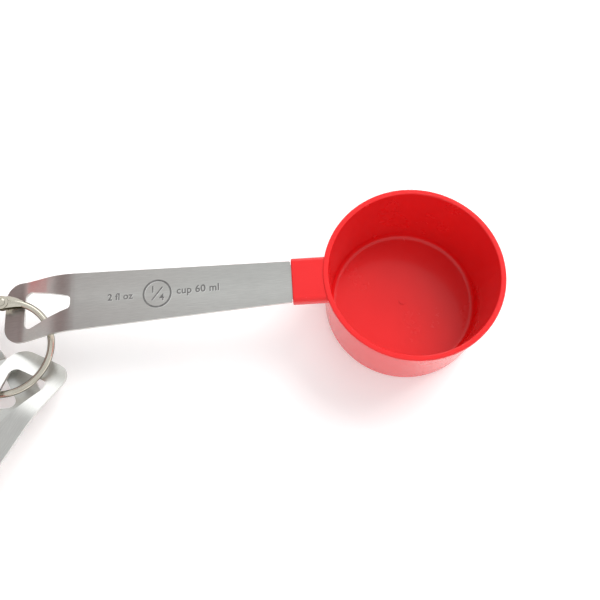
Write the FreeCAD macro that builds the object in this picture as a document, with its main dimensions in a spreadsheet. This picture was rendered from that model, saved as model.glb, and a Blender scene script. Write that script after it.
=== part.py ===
import FreeCAD, Part
import Sketcher
import PartDesign
import math
import os

# Nested set of four measuring cups (60, 80, 125 and 250 ml) on a split binder ring.
# Frame: millimetres, +Z up, origin at the centre of the 60 ml cup's flat base,
# that cup's handle running along -X to the ring.
os.makedirs("parts", exist_ok=True)
doc = FreeCAD.newDocument("MeasuringCups")

# ---------------------------------------------------------------- dimensions
SIZES = [
    # ring
    ("ring_rad", 15.3), ("wire_rad", 1.1), ("ring_height", 15.5),
    ("ring_posx", -132.2), ("ring_posy", -12.2), ("hinge_angle", 96.0),
    ("clasp_angle", -84.0), ("lap_half", 7.5), ("lap_gap", 0.6), ("face_gap", 0.06),
    ("eye_rad", 2.3), ("eye_clear", 2.45), ("rivet_rad", 0.6), ("rivet_bore", 0.65),
    ("rivet_head", 1.3), ("head_tall", 0.25),
    # handles
    ("line_offset", 12.2), ("steel_thick", 1.1), ("tip_past", 1.4), ("bar_inner", 5.55),
    ("mouth_pos", 94.0), ("tang_end", 102.2), ("tang_half", 5.5),
    ("tip_half", 10.5), ("neck_half", 6.75), ("bend_rad", 25.0), ("neck_bend", 5.0),
    ("tip_corner", 5.5), ("shoulder_round", 0.5), ("slot_far", 22.8), ("slot_wide", 7.0), ("slot_thin", 1.9),
    ("slot_round", 2.2), ("slot_tight", 1.5),
    ("peg_pos", 98.6), ("peg_bore", 1.6), ("peg_rad", 1.55), ("tang_gap", 0.05),
    # shells, common to the four cups
    ("floor_thick", 1.5), ("lip_out", 0.4), ("lip_tall", 1.4), ("rim_band", 1.7),
    ("base_round", 0.9), ("floor_round", 1.8), ("rim_round", 0.35), ("knee_pos", 5.2), ("knee_level", -1.56), ("knee_rad", 12.0),
    ("sock_half", 7.4), ("sock_tall", 4.4), ("sock_drop", 0.4), ("sock_reach", 9.75),
    ("sock_round", 1.5), ("gate_rad", 1.3), ("gate_tall", 0.25),
]
CUPS = [
    # name, turn about the ring (deg), outer rim radius, height, base radius, floor radius,
    # level of the handle's top face at its tip and at its bend, above the ring's plane,
    # the bend's distance along the handle, and how far the handle is drawn back on the ring
    ("60ml", 0.0, 28.45, 30.1, 26.9, 24.8, -2.9, 5.93, 18.7, 0.0),
    ("80ml", -117.5, 31.3, 32.5, 29.7, 27.6, -5.55, 4.85, 16.4, 1.5),
    ("125ml", -153.0, 38.0, 33.5, 36.2, 34.2, -7.65, 3.75, 16.0, 1.5),
    ("250ml", -228.0, 47.3, 42.0, 45.1, 43.2, -8.95, 4.18, 16.0, 1.5),
]
for cup, turn, rim, tall, base, floor, tip, bend, start, back in CUPS:
    SIZES += [("turn_" + cup, turn), ("rim_" + cup, rim), ("tall_" + cup, tall),
              ("base_" + cup, base), ("floor_" + cup, floor),
              ("tip_" + cup, tip), ("bend_" + cup, bend), ("start_" + cup, start), ("back_" + cup, back)]

sheet = doc.addObject("Spreadsheet::Sheet", "Dims")
D = {}
for row, (alias, value) in enumerate(SIZES, start=1):
    sheet.set("A%d" % row, alias)
    sheet.set("B%d" % row, str(value))
    sheet.setAlias("B%d" % row, alias)
    D[alias] = value
doc.recompute()


class Dim:
    """A linear combination of sheet cells: its number and its expression."""

    def __init__(self, terms=None, const=0.0):
        self.terms = dict(terms or {})
        self.const = const

    def __add__(self, other):
        other = dim(other)
        out = Dim(self.terms, self.const + other.const)
        for key, k in other.terms.items():
            out.terms[key] = out.terms.get(key, 0.0) + k
        return out

    __radd__ = __add__

    def __mul__(self, k):
        return Dim({a: b * k for a, b in self.terms.items()}, self.const * k)

    __rmul__ = __mul__

    def __neg__(self):
        return self * -1.0

    def __sub__(self, other):
        return self + (-dim(other))

    def __rsub__(self, other):
        return dim(other) - self

    @property
    def value(self):
        return self.const + sum(D[a] * k for a, k in self.terms.items())

    @property
    def expr(self):
        parts = ["%.6f" % self.const]
        for a, k in self.terms.items():
            parts.append("(%.6f) * Dims.%s" % (k, a))
        return " + ".join(parts)


def dim(x):
    return x if isinstance(x, Dim) else Dim(None, float(x))


def cell(alias):
    return Dim({alias: 1.0})


ZERO = dim(0)


# ------------------------------------------------------------------- helpers
def new_body(name):
    body = doc.addObject("PartDesign::Body", name)
    body.Label = name
    return body


def plane_of(body, role):
    for feat in body.Origin.OriginFeatures:
        if feat.Role == role:
            return feat
    raise RuntimeError("no plane " + role)


def new_sketch(body, name, role, lift=None):
    sk = body.newObject("Sketcher::SketchObject", name)
    sk.AttachmentSupport = [(plane_of(body, role), "")]
    sk.MapMode = "FlatFace"
    if lift is not None:
        sk.setExpression("AttachmentOffset.Base.z", lift.expr)
    doc.recompute()
    return sk


def pin(sk, geo, pos, x, y):
    """Fix a sketch point at (x, y) from the sketch origin, each bound to the sheet."""
    for kind, flat, val in (("DistanceX", "Vertical", x), ("DistanceY", "Horizontal", y)):
        if not val.terms and abs(val.const) < 1e-9:
            sk.addConstraint(Sketcher.Constraint(flat, -1, 1, geo, pos))
        else:
            num = sk.addConstraint(Sketcher.Constraint(kind, -1, 1, geo, pos, val.value))
            if val.terms:
                sk.setExpression("Constraints[%d]" % num, val.expr)


def polygon(sk, pts):
    """Closed outline through points given as pairs of Dim."""
    pts = [(dim(x), dim(y)) for x, y in pts]
    vec = [FreeCAD.Vector(x.value, y.value, 0) for x, y in pts]
    first = None
    n = len(pts)
    ids = []
    for i in range(n):
        ids.append(sk.addGeometry(Part.LineSegment(vec[i], vec[(i + 1) % n]), False))
    for i in range(n):
        sk.addConstraint(Sketcher.Constraint("Coincident", ids[i], 2, ids[(i + 1) % n], 1))
    for i in range(n):
        pin(sk, ids[i], 1, *pts[i])
    return ids


def rounded(sk, pts, radii):
    """Closed outline whose corners are tangent arcs where a radius is given."""
    pts = [(dim(x), dim(y)) for x, y in pts]
    vec = [FreeCAD.Vector(x.value, y.value, 0) for x, y in pts]
    n = len(pts)
    arcs, starts, ends = {}, list(vec), list(vec[1:] + vec[:1])
    for i in range(n):
        if radii[i] is None:
            continue
        a = (vec[i - 1] - vec[i]).normalize()
        b = (vec[(i + 1) % n] - vec[i]).normalize()
        half = a.getAngle(b) / 2.0
        rad = radii[i].value
        ends[i - 1] = vec[i] + a * (rad / math.tan(half))
        starts[i] = vec[i] + b * (rad / math.tan(half))
        mid = vec[i] + (a + b).normalize() * (rad / math.sin(half))
        p, q = ends[i - 1] - mid, starts[i] - mid
        left = p.cross(q).z > 0
        if not left:
            p, q = q, p
        a0, a1 = math.atan2(p.y, p.x), math.atan2(q.y, q.x)
        if a1 < a0:
            a1 += 2.0 * math.pi
        arcs[i] = (mid, rad, a0, a1, left)
    lines = [sk.addGeometry(Part.LineSegment(starts[i], ends[i]), False) for i in range(n)]
    for i in range(n):
        if i not in arcs:
            sk.addConstraint(Sketcher.Constraint("Coincident", lines[i - 1], 2, lines[i], 1))
            pin(sk, lines[i], 1, *pts[i])
            continue
        mid, rad, a0, a1, left = arcs[i]
        arc = sk.addGeometry(Part.ArcOfCircle(
            Part.Circle(mid, FreeCAD.Vector(0, 0, 1), rad), a0, a1), False)
        one, two = (1, 2) if left else (2, 1)
        corner = sk.addGeometry(Part.Point(vec[i]), True)
        pin(sk, corner, 1, *pts[i])
        sk.addConstraint(Sketcher.Constraint("Tangent", lines[i - 1], 2, arc, one))
        sk.addConstraint(Sketcher.Constraint("Tangent", arc, two, lines[i], 1))
        sk.addConstraint(Sketcher.Constraint("PointOnObject", corner, 1, lines[i - 1]))
        sk.addConstraint(Sketcher.Constraint("PointOnObject", corner, 1, lines[i]))
        num = sk.addConstraint(Sketcher.Constraint("Radius", arc, rad))
        if radii[i].terms:
            sk.setExpression("Constraints[%d]" % num, radii[i].expr)
    return lines


def circle(sk, x, y, rad):
    x, y, rad = dim(x), dim(y), dim(rad)
    geo = sk.addGeometry(Part.Circle(FreeCAD.Vector(x.value, y.value, 0),
                                     FreeCAD.Vector(0, 0, 1), rad.value), False)
    pin(sk, geo, 3, x, y)
    num = sk.addConstraint(Sketcher.Constraint("Radius", geo, rad.value))
    sk.setExpression("Constraints[%d]" % num, rad.expr)
    return geo


def spin(body, name, sk, kind, angle=None, reverse=False):
    feat = body.newObject("PartDesign::" + kind, name)
    feat.Profile = sk
    feat.ReferenceAxis = (sk, ["V_Axis"])
    feat.Reversed = reverse
    if angle is None:
        feat.Angle = 360.0
    else:
        feat.setExpression("Angle", angle.expr)
    sk.Visibility = False
    doc.recompute()
    return feat


def pad(body, name, sk, length, both=False, reverse=False):
    feat = body.newObject("PartDesign::Pad", name)
    feat.Profile = sk
    feat.setExpression("Length", length.expr)
    feat.SideType = "Symmetric" if both else "One side"
    feat.Reversed = reverse
    doc.recompute()
    return feat


def pocket(body, name, sk, length=None, both=False, reverse=False, check=True):
    before = body.Shape.Volume
    feat = body.newObject("PartDesign::Pocket", name)
    feat.Profile = sk
    if both:
        feat.SideType = "Symmetric"
    if length is None:
        feat.Type = "ThroughAll"
    else:
        feat.setExpression("Length", length.expr)
    feat.Reversed = reverse
    doc.recompute()
    if check and not body.Shape.Volume < before - 1e-3:
        raise RuntimeError(name + " removed nothing")
    return feat


def edges_where(shape, test):
    out = []
    for i, e in enumerate(shape.Edges, start=1):
        if test(e):
            out.append("Edge%d" % i)
    return out


def fillet(body, name, radius, test):
    base = body.Tip
    names = edges_where(base.Shape, test)
    if not names:
        raise RuntimeError(name + " found no edges")
    feat = body.newObject("PartDesign::Fillet", name)
    feat.Base = (base, names)
    feat.setExpression("Radius", radius.expr)
    doc.recompute()
    if "Invalid" in feat.State or "Error" in feat.State or not feat.Shape.isValid():
        raise RuntimeError(name + " failed on %d edges" % len(names))
    return feat


def ring_edge(rad, level, tol=0.05):
    """Circular edges about the Z axis at a radius and height."""
    def test(e):
        c = e.Curve
        return (isinstance(c, Part.Circle) and abs(c.Radius - rad) < tol
                and abs(c.Center.z - level) < tol
                and math.hypot(c.Center.x, c.Center.y) < 0.01)
    return test


# ---------------------------------------------------------------------- cups
RING = FreeCAD.Vector(D["ring_posx"], D["ring_posy"], 0)


def turned(turn, along, across):
    """Placement of a piece laid out from the ring's centre and swung round it."""
    swing = FreeCAD.Placement(RING, FreeCAD.Rotation(FreeCAD.Vector(0, 0, 1), turn))
    return swing.multiply(FreeCAD.Placement(FreeCAD.Vector(along, across, 0),
                                            FreeCAD.Rotation()))


def make_cup(cup, turn):
    body = new_body("cup_" + cup)
    rim, tall = cell("rim_" + cup), cell("tall_" + cup)
    base, floor = cell("base_" + cup), cell("floor_" + cup)
    lip = cell("lip_out")
    # outer form: flat base, drafted wall, small outward lip
    sk = new_sketch(body, "outer_" + cup, "XZ_Plane")
    polygon(sk, [(0, 0), (base, 0), (rim - lip, tall - cell("lip_tall") - 0.3),
                 (rim, tall - cell("lip_tall")), (rim, tall), (0, tall)])
    spin(body, "outer_form_" + cup, sk, "Revolution")
    # socket block for the handle's tang, on the -X side, running into the wall
    sk = new_sketch(body, "block_" + cup, "YZ_Plane", -(rim + cell("sock_reach")))
    half, top = cell("sock_half"), tall - cell("sock_drop")
    low = top - cell("sock_tall")
    polygon(sk, [(-half, low), (half, low), (half, top), (-half, top)])
    pad(body, "socket_" + cup, sk, cell("sock_reach") + 6.0)
    # cavity of the cup
    sk = new_sketch(body, "inner_" + cup, "XZ_Plane")
    polygon(sk, [(0, cell("floor_thick")), (floor, cell("floor_thick")),
                 (rim - cell("rim_band"), tall), (rim - cell("rim_band"), tall + 1.0),
                 (0, tall + 1.0)])
    before = body.Shape.Volume
    spin(body, "cavity_" + cup, sk, "Groove")
    if not body.Shape.Volume < before * 0.6:
        raise RuntimeError("cavity cut nothing")
    # rounding: floor corner, base edge, socket's outer edges, rim
    fillet(body, "floor_fillet_" + cup, cell("floor_round"),
           ring_edge(floor.value, D["floor_thick"]))
    fillet(body, "rim_fillet_" + cup, cell("rim_round"),
           lambda e: ring_edge(rim.value, tall.value)(e)
           or ring_edge(rim.value - D["rim_band"], tall.value)(e))
    fillet(body, "base_fillet_" + cup, cell("base_round"), ring_edge(base.value, 0.0))
    reach = -(rim.value + D["sock_reach"])

    def long_edge(e):
        b = e.BoundBox
        return (b.XLength > 4 and b.YLength < 0.2 and b.ZLength < 0.2
                and abs(abs(b.YMin) - D["sock_half"]) < 0.02 and b.XMin < reach + 0.1)

    fillet(body, "socket_fillet_" + cup, cell("sock_round"), long_edge)

    def mouth_edge(e):
        b = e.BoundBox
        return abs(b.XMin - reach) < 0.01 and abs(b.XMax - reach) < 0.01

    fillet(body, "mouth_fillet_" + cup, Dim(None, 0.5), mouth_edge)
    # slot for the tang; the peg through the tang is left standing in it
    gap = cell("tang_gap")
    depth = cell("steel_thick") + 2.0 * gap
    mid = tall - cell("sock_drop") - 0.5 * cell("sock_tall")
    along = cell("mouth_pos") - rim - cell("sock_reach")   # ring frame to cup frame
    tang_end = -(rim + cell("sock_reach")) + (cell("tang_end") - cell("mouth_pos")) + gap
    peg = -(rim + cell("sock_reach")) + (cell("peg_pos") - cell("mouth_pos"))
    wide = cell("tang_half") + gap
    sk = new_sketch(body, "tang_slot_" + cup, "XY_Plane", mid + 0.5 * depth)
    polygon(sk, [(-(rim + cell("sock_reach")) - 1.0, -wide), (tang_end, -wide),
                 (tang_end, wide), (-(rim + cell("sock_reach")) - 1.0, wide)])
    circle(sk, peg, 0, cell("peg_rad"))
    pocket(body, "tang_cavity_" + cup, sk, depth)
    # gate mark in the middle of the floor
    sk = new_sketch(body, "gate_" + cup, "XY_Plane", cell("floor_thick") - 0.2)
    circle(sk, 0, 0, cell("gate_rad"))
    pad(body, "gate_mark_" + cup, sk, cell("gate_tall") + 0.2)
    dist = D["mouth_pos"] + rim.value + D["sock_reach"]
    body.Placement = turned(turn, dist - D["back_" + cup], D["line_offset"])
    return body


# ------------------------------------------------------------------- handles
def make_handle(cup, turn, knee):
    body = new_body("handle_" + cup)
    z = cell("ring_height")
    thick = cell("steel_thick")
    mid = cell("tall_" + cup) - cell("sock_drop") - 0.5 * cell("sock_tall")
    # side profile of the bent strip: steep tip, straight run, level tang
    sk = new_sketch(body, "profile_" + cup, "XZ_Plane")
    top = [(-cell("tip_past") - 0.75, z + cell("tip_" + cup)),
           (cell("start_" + cup), z + cell("bend_" + cup)),
           (cell("mouth_pos") - 0.5, mid + 0.5 * thick), (cell("tang_end"), mid + 0.5 * thick)]
    if knee:
        top.insert(1, (cell("knee_pos"), z + cell("knee_level")))
    tv = [FreeCAD.Vector(a.value, b.value, 0) for a, b in top]
    t = thick.value
    n = len(tv)
    runs = [(tv[i + 1] - tv[i]).normalize() for i in range(n - 1)]
    bv = []
    for i in range(n):
        a, b = runs[max(i - 1, 0)], runs[min(i, n - 2)]
        d = (FreeCAD.Vector(a.y, -a.x, 0) + FreeCAD.Vector(b.y, -b.x, 0)).normalize()
        bv.append(tv[i] + d * (t / math.cos(a.getAngle(b) / 2.0)))
    loop = tv + bv[::-1]
    m = 2 * n
    ids = [sk.addGeometry(Part.LineSegment(loop[i], loop[(i + 1) % m]), False) for i in range(m)]
    for i in range(m):
        sk.addConstraint(Sketcher.Constraint("Coincident", ids[i], 2, ids[(i + 1) % m], 1))
    for i in range(n):
        pin(sk, ids[i], 1, *top[i])
    for i in range(n - 1):
        low = ids[m - 2 - i]
        sk.addConstraint(Sketcher.Constraint("Parallel", ids[i], low))
        num = sk.addConstraint(Sketcher.Constraint("Distance", low, 1, ids[i], t))
        sk.setExpression("Constraints[%d]" % num, thick.expr)
    sk.addConstraint(Sketcher.Constraint("Perpendicular", ids[n - 1], ids[n - 2]))
    sk.addConstraint(Sketcher.Constraint("Perpendicular", ids[m - 1], ids[0]))
    pad(body, "strip_" + cup, sk, cell("tip_half") * 2.0 + 4.0, both=True)

    def across(point, tol=0.02):
        def test(e):
            b = e.BoundBox
            return (b.YLength > 20 and b.XLength < 0.01 and abs(b.XMin - point.x) < tol
                    and abs(b.ZMin - point.y) < tol)
        return test

    k = 2 if knee else 1
    # a neck bend of under six degrees is left as the plain fold it nearly is
    if runs[k].getAngle(runs[k + 1]) > math.radians(6.0):
        fillet(body, "neck_top_" + cup, cell("neck_bend") + thick, across(tv[k + 1]))
        fillet(body, "neck_under_" + cup, cell("neck_bend"), across(bv[k + 1]))
    fillet(body, "bend_outer_" + cup, cell("bend_rad") + thick, across(tv[k]))
    fillet(body, "bend_inner_" + cup, cell("bend_rad"), across(bv[k]))
    if knee:
        fillet(body, "knee_top_" + cup, cell("knee_rad"), across(tv[1]))
        fillet(body, "knee_under_" + cup, cell("knee_rad") + thick, across(bv[1]))
    # plan outline: widest at the tip, narrowing to the neck, then the tang
    half, neckw, tang = cell("tip_half"), cell("neck_half"), cell("tang_half")
    tip, mouth, end = -cell("tip_past"), cell("mouth_pos") - 0.15, cell("tang_end")
    sk = new_sketch(body, "outline_" + cup, "XY_Plane")
    polygon(sk, [(tip - 6.0, -half - 6.0), (end + 6.0, -half - 6.0), (end + 6.0, half + 6.0),
                 (tip - 6.0, half + 6.0)])
    big, small = cell("tip_corner"), cell("shoulder_round")
    rounded(sk, [(tip, -half), (mouth, -neckw), (mouth, -tang), (end, -tang), (end, tang),
                 (mouth, tang), (mouth, neckw), (tip, half)],
            [big, small, None, small, small, None, small, big])
    pocket(body, "blank_" + cup, sk, Dim(None, 200.0), both=True)
    # hanging slot and the hole for the socket's peg
    sk = new_sketch(body, "slot_" + cup, "XY_Plane")
    w1, w2 = cell("slot_wide"), cell("slot_thin")
    wide, tight = cell("slot_round"), cell("slot_tight")
    rounded(sk, [(cell("bar_inner"), -w1), (cell("slot_far"), -w2),
                 (cell("slot_far"), w2), (cell("bar_inner"), w1)], [wide, tight, tight, wide])
    circle(sk, cell("peg_pos"), 0, cell("peg_bore"))
    pocket(body, "openings_" + cup, sk, Dim(None, 200.0), both=True)

    body.Placement = turned(turn, -D["back_" + cup], D["line_offset"])
    return body


# ---------------------------------------------------------------------- ring
def ring_place(turn):
    return FreeCAD.Placement(FreeCAD.Vector(RING.x, RING.y, D["ring_height"]),
                             FreeCAD.Rotation(FreeCAD.Vector(0, 0, 1), turn))


def make_half(name, upper):
    """Half ring drawn from its clasp end; the eye is on the upper or lower side."""
    body = new_body(name)
    side = 1.0 if upper else -1.0
    sweep = cell("hinge_angle") - cell("clasp_angle") + cell("lap_half") - 0.5
    if not upper:
        sweep = 360.0 - cell("hinge_angle") + cell("clasp_angle") + cell("lap_half") - 0.5
    sk = new_sketch(body, "wire_" + name, "XZ_Plane")
    circle(sk, cell("ring_rad"), 0, cell("wire_rad"))
    spin(body, "half_ring_" + name, sk, "Revolution", sweep, reverse=not upper)
    # half-thickness tongue of the clasp
    rad, wire, gap = cell("ring_rad"), cell("wire_rad"), cell("face_gap") * 0.5
    sk = new_sketch(body, "lap_" + name, "XZ_Plane")
    lo, hi = (-wire - 0.4, 0.0 + gap) if upper else (0.0 - gap, wire + 0.4)
    polygon(sk, [(rad - wire - 0.4, lo), (rad + wire + 0.4, lo),
                 (rad + wire + 0.4, hi), (rad - wire - 0.4, hi)])
    before = body.Shape.Volume
    spin(body, "lap_cut_" + name, sk, "Groove", cell("lap_half") * 2.0 + cell("lap_gap"),
         reverse=not upper)
    if not body.Shape.Volume < before - 1.0:
        raise RuntimeError("lap cut nothing")
    # centre of the hinge seen from the clasp end
    ang = D["hinge_angle"] - (D["clasp_angle"] - D["lap_half"])
    if not upper:
        ang = D["hinge_angle"] - (D["clasp_angle"] + D["lap_half"])
    hx = D["ring_rad"] * math.cos(math.radians(ang))
    hy = D["ring_rad"] * math.sin(math.radians(ang))
    fx = Dim({"ring_rad": math.cos(math.radians(ang))})
    fy = Dim({"ring_rad": math.sin(math.radians(ang))})
    # the wire spreads into a flat lobe towards the hinge
    lobe = [(0.0, 2.1), (9.0, 2.0), (18.0, 1.55), (27.0, 0.95)]
    pts = []
    for sign, order in ((1.0, lobe), (-1.0, lobe[::-1])):
        for back, width in order:
            a = math.radians(ang - back * side)
            pts.append((Dim({"ring_rad": math.cos(a)}, sign * width * math.cos(a)),
                        Dim({"ring_rad": math.sin(a)}, sign * width * math.sin(a))))
    sk = new_sketch(body, "lobe_" + name, "XY_Plane")
    polygon(sk, pts)
    pad(body, "lobe_pad_" + name, sk, wire * 2.0 - 0.3, both=True)
    # room for the other half's eye
    sk = new_sketch(body, "relief_" + name, "XY_Plane", gap * side)
    circle(sk, fx, fy, cell("eye_clear"))
    pocket(body, "relief_cut_" + name, sk, wire + 0.5, reverse=not upper)
    # the eye
    sk = new_sketch(body, "eye_" + name, "XY_Plane", gap * side)
    circle(sk, fx, fy, cell("eye_rad"))
    pad(body, "eye_pad_" + name, sk, wire + 0.05 - gap, reverse=not upper)
    sk = new_sketch(body, "bore_" + name, "XY_Plane", (wire + 1.0) * side)
    circle(sk, fx, fy, cell("rivet_bore"))
    pocket(body, "bore_cut_" + name, sk, wire + 3.0, reverse=not upper)
    start = D["clasp_angle"] - D["lap_half"] if upper else D["clasp_angle"] + D["lap_half"]
    body.Placement = ring_place(start)
    return body


def make_rivet():
    body = new_body("ring_hinge_rivet")
    sk = new_sketch(body, "rivet_profile", "XZ_Plane")
    low = -(cell("wire_rad") + 0.05 + 0.02)
    rad, head, tall = cell("rivet_rad"), cell("rivet_head"), cell("head_tall")
    polygon(sk, [(0, low - tall), (head - 0.35, low - tall), (head, low - 0.1), (head, low),
                 (rad, low), (rad, -low), (head, -low), (head, -low + 0.1),
                 (head - 0.35, -low + tall), (0, -low + tall)])
    spin(body, "rivet_turned", sk, "Revolution")
    ang = math.radians(D["hinge_angle"])
    body.Placement = FreeCAD.Placement(
        FreeCAD.Vector(RING.x + D["ring_rad"] * math.cos(ang),
                       RING.y + D["ring_rad"] * math.sin(ang), D["ring_height"]),
        FreeCAD.Rotation())
    return body


nodes = []
for cup, turn, *rest in CUPS:
    nodes.append(make_cup(cup, turn))
    nodes.append(make_handle(cup, turn, cup == "60ml"))
nodes.append(make_half("ring_half_a", True))
nodes.append(make_half("ring_half_b", False))
nodes.append(make_rivet())
doc.recompute()

for obj in doc.Objects:
    if "Invalid" in obj.State or "Error" in obj.State:
        raise RuntimeError("%s is %s" % (obj.Label, obj.State))
for node in nodes:
    shape = node.Shape
    if shape.isNull() or not shape.isValid() or len(shape.Solids) != 1:
        raise RuntimeError("%s is not one valid solid (%d)" % (node.Label, len(shape.Solids)))
for node in nodes:
    node.Shape.exportStep(os.path.join("parts", node.Label + ".step"))
    bb = node.Shape.BoundBox
    print("%-18s %9.1f mm3  x %.2f..%.2f y %.2f..%.2f z %.2f..%.2f" % (
        node.Label, node.Shape.Volume, bb.XMin, bb.XMax, bb.YMin, bb.YMax, bb.ZMin, bb.ZMax))
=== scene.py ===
import bpy, bmesh, math
from mathutils import Vector, Matrix, Euler


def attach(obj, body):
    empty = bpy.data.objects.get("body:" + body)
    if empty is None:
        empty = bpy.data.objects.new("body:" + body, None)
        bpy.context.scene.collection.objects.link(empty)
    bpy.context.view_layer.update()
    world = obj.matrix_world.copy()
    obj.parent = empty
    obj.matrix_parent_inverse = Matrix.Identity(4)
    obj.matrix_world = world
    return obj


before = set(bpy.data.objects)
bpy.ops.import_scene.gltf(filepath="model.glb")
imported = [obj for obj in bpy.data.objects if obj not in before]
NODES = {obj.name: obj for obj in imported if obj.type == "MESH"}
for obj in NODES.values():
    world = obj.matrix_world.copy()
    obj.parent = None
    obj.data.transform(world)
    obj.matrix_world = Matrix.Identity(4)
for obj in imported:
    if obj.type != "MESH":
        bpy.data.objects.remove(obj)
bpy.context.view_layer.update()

RING = Vector((-0.1322, -0.0122, 0.0155))
# name: (turn about the ring, height, bend level, bend start, drawn back)
CUPS = {
    "60": (0.0, 30.1, 5.93, 18.7, 0.0),
    "80": (-117.5, 32.5, 4.85, 16.4, 1.5),
    "125": (-153.0, 33.5, 3.75, 16.0, 1.5),
    "250": (-228.0, 42.0, 4.18, 16.0, 1.5),
}
OFF = 0.0122


# ------------------------------------------------------------ node helpers
class Mat:
    def __init__(self, name):
        self.m = bpy.data.materials.new(name)
        self.m.use_nodes = True
        self.t = self.m.node_tree
        self.b = self.t.nodes["Principled BSDF"]

    def n(self, kind, **kw):
        node = self.t.nodes.new("ShaderNode" + kind)
        for k, v in kw.items():
            if k in node.inputs.keys():
                node.inputs[k].default_value = v
            else:
                setattr(node, k, v)
        return node

    def l(self, a, b):
        self.t.links.new(a, b)

    def ramp(self, src, stops):
        r = self.n("ValToRGB")
        el = r.color_ramp.elements
        while len(el) < len(stops):
            el.new(0.5)
        for e, (p, c) in zip(el, stops):
            e.position = p
            e.color = (c[0], c[1], c[2], 1) if isinstance(c, tuple) else (c, c, c, 1)
        self.l(src, r.inputs[0])
        return r.outputs[0]

    def coords(self, turn=0.0, scale=(1, 1, 1)):
        tc = self.n("TexCoord")
        rot = self.n("Mapping")
        rot.vector_type = "POINT"
        rot.inputs["Rotation"].default_value = (0, 0, -math.radians(turn))
        self.l(tc.outputs["Object"], rot.inputs[0])
        sc = self.n("Mapping")
        sc.inputs["Scale"].default_value = scale
        self.l(rot.outputs[0], sc.inputs[0])
        return sc.outputs[0]

    def noise(self, vec, scale, detail=3.0, rough=0.5, dist=0.0):
        nz = self.n("TexNoise")
        nz.inputs["Scale"].default_value = scale
        nz.inputs["Detail"].default_value = detail
        nz.inputs["Roughness"].default_value = rough
        nz.inputs["Distortion"].default_value = dist
        self.l(vec, nz.inputs["Vector"])
        return nz.outputs["Fac"]

    def bump(self, height, dist, strength=1.0, after=None):
        bp = self.n("Bump")
        bp.inputs["Strength"].default_value = strength
        bp.inputs["Distance"].default_value = dist
        self.l(height, bp.inputs["Height"])
        if after is not None:
            self.l(after, bp.inputs["Normal"])
        return bp.outputs["Normal"]


def plastic():
    m = Mat("red_gloss_plastic")
    v = m.coords()
    tone = m.noise(v, 22.0, 4.0, 0.55, 0.6)          # faint flow of the moulding
    col = m.ramp(tone, [(0.3, (0.74, 0.011, 0.013)), (0.7, (0.79, 0.015, 0.017))])
    m.l(col, m.b.inputs["Base Color"])
    fine = m.noise(v, 900.0, 2.0, 0.5)
    rub = m.noise(v, 60.0, 5.0, 0.65)
    add = m.n("Math", operation="MULTIPLY_ADD")
    m.l(rub, add.inputs[0]); add.inputs[1].default_value = 0.07
    add.inputs[2].default_value = 0.23
    m.l(add.outputs[0], m.b.inputs["Roughness"])
    peel = m.bump(fine, 0.00001, 0.05)
    wave = m.bump(m.noise(v, 30.0, 1.0, 0.4), 0.0002, 0.05, peel)
    m.l(wave, m.b.inputs["Normal"])
    m.b.inputs["IOR"].default_value = 1.42
    m.b.inputs["Subsurface Weight"].default_value = 0.12
    m.b.inputs["Subsurface Radius"].default_value = (0.0045, 0.0008, 0.0006)
    m.b.inputs["Subsurface Scale"].default_value = 1.0
    m.b.inputs["Coat Weight"].default_value = 0.28
    m.b.inputs["Coat Roughness"].default_value = 0.05
    return m.m


def steel(name, turn):
    m = Mat("brushed_steel_" + name)
    v = m.coords(turn, (1.0, 24.0, 6.0))
    line = m.noise(v, 220.0, 4.0, 0.7)
    wide = m.noise(m.coords(turn, (0.6, 2.2, 1.0)), 40.0, 3.0, 0.6)
    col = m.ramp(line, [(0.25, (0.58, 0.58, 0.555)), (0.75, (0.73, 0.73, 0.70))])
    mix = m.n("Mix", data_type="RGBA", blend_type="MULTIPLY")
    mix.inputs[0].default_value = 0.5
    m.l(col, mix.inputs[6])
    m.l(m.ramp(wide, [(0.3, (0.86, 0.86, 0.86)), (0.7, (1.0, 1.0, 1.0))]), mix.inputs[7])
    m.l(mix.outputs[2], m.b.inputs["Base Color"])
    m.b.inputs["Metallic"].default_value = 1.0
    ro = m.n("Math", operation="MULTIPLY_ADD")
    m.l(wide, ro.inputs[0]); ro.inputs[1].default_value = 0.14
    ro.inputs[2].default_value = 0.24
    m.l(ro.outputs[0], m.b.inputs["Roughness"])
    scratch = m.bump(line, 0.00003, 0.35)
    dent = m.bump(m.noise(m.coords(turn, (1, 1.5, 1)), 55.0, 2.0), 0.0004, 0.22, scratch)
    m.l(dent, m.b.inputs["Normal"])
    m.b.inputs["Anisotropic"].default_value = 0.45
    return m.m


def nickel():
    m = Mat("bright_nickel")
    v = m.coords()
    a = m.noise(v, 130.0, 4.0, 0.6)
    warm = m.ramp(a, [(0.3, (0.64, 0.60, 0.50)), (0.7, (0.78, 0.74, 0.64))])
    # painted shade: the base colour is darkened where the wire turns away from the view, along its sides
    lw = m.n("LayerWeight")
    lw.inputs["Blend"].default_value = 0.5
    painted_side_shade = m.ramp(lw.outputs["Facing"], [(0.22, (1.0, 1.0, 1.0)), (0.72, (0.13, 0.12, 0.10))])
    mx = m.n("Mix", data_type="RGBA", blend_type="MULTIPLY")
    mx.inputs[0].default_value = 1.0
    m.l(warm, mx.inputs[6])
    m.l(painted_side_shade, mx.inputs[7])
    m.l(mx.outputs[2], m.b.inputs["Base Color"])
    m.b.inputs["Specular Tint"].default_value = (0.35, 0.33, 0.30, 1)
    m.b.inputs["Metallic"].default_value = 1.0
    ro = m.n("Math", operation="MULTIPLY_ADD")
    m.l(m.noise(v, 300.0, 3.0, 0.7), ro.inputs[0]); ro.inputs[1].default_value = 0.16
    ro.inputs[2].default_value = 0.10
    m.l(ro.outputs[0], m.b.inputs["Roughness"])
    m.l(m.bump(m.noise(v, 700.0, 3.0), 0.00003, 0.3), m.b.inputs["Normal"])
    return m.m


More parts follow.
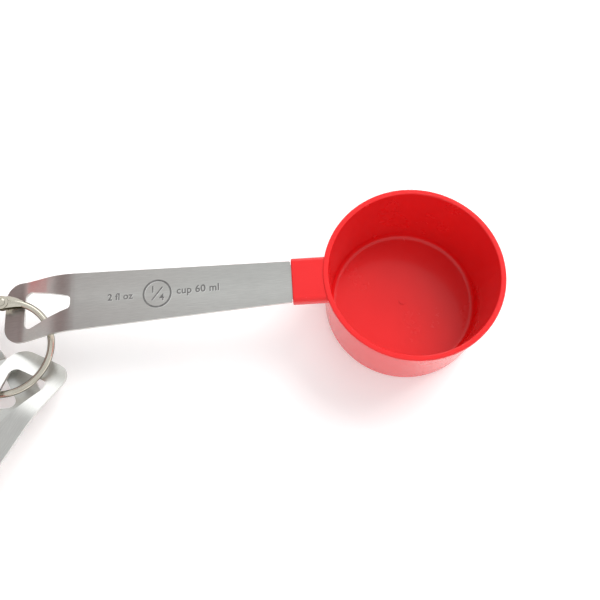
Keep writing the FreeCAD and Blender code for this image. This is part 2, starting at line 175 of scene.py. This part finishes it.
def stamped(name, dark, pale):
    m = Mat(name)
    v = m.coords()
    m.l(m.ramp(m.noise(v, 900.0, 2.0), [(0.3, dark), (0.8, pale)]), m.b.inputs["Base Color"])
    m.b.inputs["Metallic"].default_value = 0.9
    m.b.inputs["Roughness"].default_value = 0.5
    m.l(m.bump(m.noise(v, 1200.0), 0.00002, 0.4), m.b.inputs["Normal"])
    return m.m


def assign(obj, mat):
    obj.data.materials.clear() if not obj.data.materials else None
    if obj.data.materials:
        for i in range(len(obj.data.materials)):
            obj.data.materials[i] = mat
    else:
        obj.data.materials.append(mat)


RED, NICKEL = plastic(), nickel()
# painted shade: the struck marks are drawn in dark steel, standing in for the shade in their recesses
MARK_PAINTED_SHADE = stamped("stamped_mark_painted_shade", (0.19, 0.19, 0.185), (0.36, 0.36, 0.35))
# painted highlight: a bright steel copy of each mark, standing in for the light caught on the lower side of its
# recess
GLINT = stamped("stamped_painted_highlight", (0.80, 0.80, 0.78), (0.92, 0.92, 0.90))
for name, obj in NODES.items():
    if name.startswith("cup_"):
        assign(obj, RED)
    elif name.startswith("handle_"):
        k = name[7:-2]
        assign(obj, steel(k, CUPS[k][0]))
    else:
        assign(obj, NICKEL)


# ------------------------------------------------------------ stamped marks
def unit(k):
    """Matrix from a handle's own frame (x away from the ring, y across) to the row's."""
    turn, back = CUPS[k][0], CUPS[k][4]
    return (Matrix.Translation((RING.x, RING.y, 0)) @ Matrix.Rotation(math.radians(turn), 4, "Z")
            @ Matrix.Translation((-back / 1000.0, OFF, 0)))


def face(k, u):
    """Height and slope of the handle's straight top face at distance u from the ring."""
    turn, tall, bend, start, back = CUPS[k]
    z0, z1 = 15.5 + bend, tall - 0.4 - 2.2 + 0.55
    slope = (z1 - z0) / (93.5 - start)
    return (z0 + slope * (u - start)) / 1000.0, math.atan(slope)


def put_text(k, tag, body, text, u, size, v=0.0, align="CENTER", mat=MARK_PAINTED_SHADE, lift=0.00002):
    cu = bpy.data.curves.new("mark_" + k + "_" + tag, "FONT")
    cu.body = text
    cu.size = size
    cu.align_x = align
    cu.align_y = "CENTER"
    cu.extrude = 0.00001
    cu.offset = 0.00007
    cu.space_character = 1.05
    ob = bpy.data.objects.new("tmp_" + tag, cu)
    bpy.context.collection.objects.link(ob)
    bpy.context.view_layer.update()
    me = bpy.data.meshes.new_from_object(ob.evaluated_get(bpy.context.evaluated_depsgraph_get()))
    bpy.data.objects.remove(ob)
    out = bpy.data.objects.new("mark_" + k + "_" + tag, me)
    bpy.context.collection.objects.link(out)
    z, slope = face(k, u)
    out.matrix_world = unit(k) @ Matrix.Translation((u / 1000.0, v, z + lift)) @ Matrix.Rotation(-slope, 4, "Y")
    me.materials.clear()
    me.materials.append(mat)
    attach(out, body)
    return out


def ring_mark(k, body, u, outer, inner, tag="ring", mat=MARK_PAINTED_SHADE, lift=0.00002, v=0.0):
    bm = bmesh.new()
    n = 64
    z = 0.00001
    rows = []
    for r in (outer, inner):
        rows.append([bm.verts.new((r * math.cos(2 * math.pi * i / n), r * math.sin(2 * math.pi * i / n), z)) for i in range(n)])
        rows.append([bm.verts.new((r * math.cos(2 * math.pi * i / n), r * math.sin(2 * math.pi * i / n), -z)) for i in range(n)])
    for a, b in ((0, 2), (2, 3), (3, 1), (1, 0)):
        for i in range(n):
            j = (i + 1) % n
            bm.faces.new((rows[a][i], rows[a][j], rows[b][j], rows[b][i]))
    # fraction bar
    bar = [bm.verts.new(p) for p in ((-0.0016, -0.0023, z), (0.0019, 0.0020, z), (0.0016, 0.0023, z), (-0.0019, -0.0020, z))]
    bm.faces.new(bar)
    bmesh.ops.recalc_face_normals(bm, faces=bm.faces)
    me = bpy.data.meshes.new("mark_" + k + "_" + tag)
    bm.to_mesh(me)
    bm.free()
    ob = bpy.data.objects.new("mark_" + k + "_" + tag, me)
    bpy.context.collection.objects.link(ob)
    zz, slope = face(k, u)
    ob.matrix_world = unit(k) @ Matrix.Translation((u / 1000.0, v, zz + lift)) @ Matrix.Rotation(-slope, 4, "Y")
    me.materials.append(mat)
    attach(ob, body)


WORDS = {"60": ("1", "4", "cup 60 ml", "2 fl oz"), "80": ("1", "3", "cup 80 ml", "2.7 fl oz"),
         "125": ("1", "2", "cup 125 ml", "4 fl oz"), "250": ("1", "1", "cup 250 ml", "8 fl oz")}
for k, (top, low, right, left) in WORDS.items():
    body = "cup_" + k
    # each struck mark is a dark floor of painted shade, with a bright copy offset to its lower side as a
    # painted highlight where the light catches it
    for tag, mat, lift, du, dv in (("_edge", GLINT, 0.000011, 0.16, -0.00016), ("", MARK_PAINTED_SHADE, 0.00002, 0.0, 0.0)):
        ring_mark(k, body, 51.2 + du, 0.0047, 0.0041, "ring" + tag, mat, lift, dv)
        put_text(k, "top" + tag, body, top, 49.8 + du, 0.0031, 0.0014 + dv, mat=mat, lift=lift)
        put_text(k, "low" + tag, body, low, 52.7 + du, 0.0031, -0.0014 + dv, mat=mat, lift=lift)
        put_text(k, "right" + tag, body, right, 64.3 + du, 0.0033, 0.0003 + dv, mat=mat, lift=lift)
        put_text(k, "left" + tag, body, left, 39.2 + du, 0.0031, dv, mat=mat, lift=lift)

# ------------------------------------------------------------------- stage
me = bpy.data.meshes.new("floor")
s = 6.0
me.from_pydata([(-s, -s, 0), (s, -s, 0), (s, s, 0), (-s, s, 0)], [], [(0, 1, 2, 3)])
floor = bpy.data.objects.new("floor", me)
bpy.context.collection.objects.link(floor)
floor.location.z = -0.00002
fm = Mat("pale_floor")
fm.l(fm.ramp(fm.noise(fm.coords(), 8.0, 2.0), [(0.3, (0.94, 0.94, 0.94)), (0.7, (0.96, 0.96, 0.96))]), fm.b.inputs["Base Color"])
fm.b.inputs["Roughness"].default_value = 0.75
fm.b.inputs["Specular IOR Level"].default_value = 0.2
fm.b.inputs["Emission Color"].default_value = (1, 1, 1, 1)
fm.b.inputs["Emission Strength"].default_value = 0.15
me.materials.append(fm.m)

world = bpy.data.worlds.new("studio")
bpy.context.scene.world = world
world.use_nodes = True
wt = world.node_tree
bg = wt.nodes["Background"]
geo = wt.nodes.new("ShaderNodeTexCoord")
sep = wt.nodes.new("ShaderNodeSeparateXYZ")
wt.links.new(geo.outputs["Generated"], sep.inputs[0])
wr = wt.nodes.new("ShaderNodeValToRGB")
wr.color_ramp.elements[0].position = 0.0
wr.color_ramp.elements[0].color = (0.98, 0.98, 0.98, 1)
wr.color_ramp.elements[1].position = 1.0
wr.color_ramp.elements[1].color = (0.90, 0.91, 0.92, 1)
wt.links.new(sep.outputs["Z"], wr.inputs[0])
# a soft dusky patch of the room, low on the ring's side
dot = wt.nodes.new("ShaderNodeVectorMath")
dot.operation = "DOT_PRODUCT"
dot.inputs[1].default_value = (-0.70, 0.32, 0.64)
wt.links.new(geo.outputs["Generated"], dot.inputs[0])
near = wt.nodes.new("ShaderNodeMapRange")
near.interpolation_type = "SMOOTHSTEP"
near.inputs["From Min"].default_value = 0.93
near.inputs["From Max"].default_value = 0.985
wt.links.new(dot.outputs["Value"], near.inputs["Value"])
dusk = wt.nodes.new("ShaderNodeMix")
dusk.data_type = "RGBA"
wt.links.new(near.outputs["Result"], dusk.inputs[0])
wt.links.new(wr.outputs[0], dusk.inputs[6])
dusk.inputs[7].default_value = (0.30, 0.18, 0.175, 1)
wt.links.new(dusk.outputs[2], bg.inputs[0])
bg.inputs[1].default_value = 0.78


def area(name, loc, target, size, power, color=(1, 1, 1), size_y=None, mirrored=True):
    li = bpy.data.lights.new(name, "AREA")
    li.energy = power
    li.color = color
    li.size = size
    if size_y:
        li.shape = "RECTANGLE"
        li.size_y = size_y
    ob = bpy.data.objects.new(name, li)
    bpy.context.collection.objects.link(ob)
    ob.location = loc
    ob.rotation_euler = (Vector(target) - Vector(loc)).to_track_quat("-Z", "Y").to_euler()
    ob.visible_glossy = mirrored
    return ob


area("key", (0.50, 0.42, 0.80), (-0.04, -0.01, 0), 0.55, 7.0, (1.0, 0.99, 0.97), mirrored=False)
area("back_box", (-0.06, 1.05, 0.62), (-0.12, -0.02, 0), 0.75, 2.4, (0.98, 0.99, 1.0))
area("soft_card", (-0.40, 0.30, 0.82), (-0.058, 0.0, 0.025), 0.14, 0.02)
area("front", (0.15, -1.1, 0.75), (-0.04, 0, 0), 0.6, 2.4, mirrored=False)

# ------------------------------------------------------------------ camera
cd = bpy.data.cameras.new("camera")
cd.sensor_width = 36.0
cd.lens = 42.0
cd.clip_start = 0.005
cd.clip_end = 20.0
cam = bpy.data.objects.new("camera", cd)
bpy.context.collection.objects.link(cam)
right = Vector((0.99808, -0.06128, -0.00867)).normalized()
fwd = Vector((0.01139, 0.31951, -0.94751)).normalized()
up = right.cross(fwd).normalized()
right = fwd.cross(up).normalized()
rot = Matrix((right, up, -fwd)).transposed().to_4x4()
cam.matrix_world = Matrix.Translation((-0.03848, -0.07557, 0.23337)) @ rot
bpy.context.scene.camera = cam
bpy.context.scene.view_settings.view_transform = "Standard"
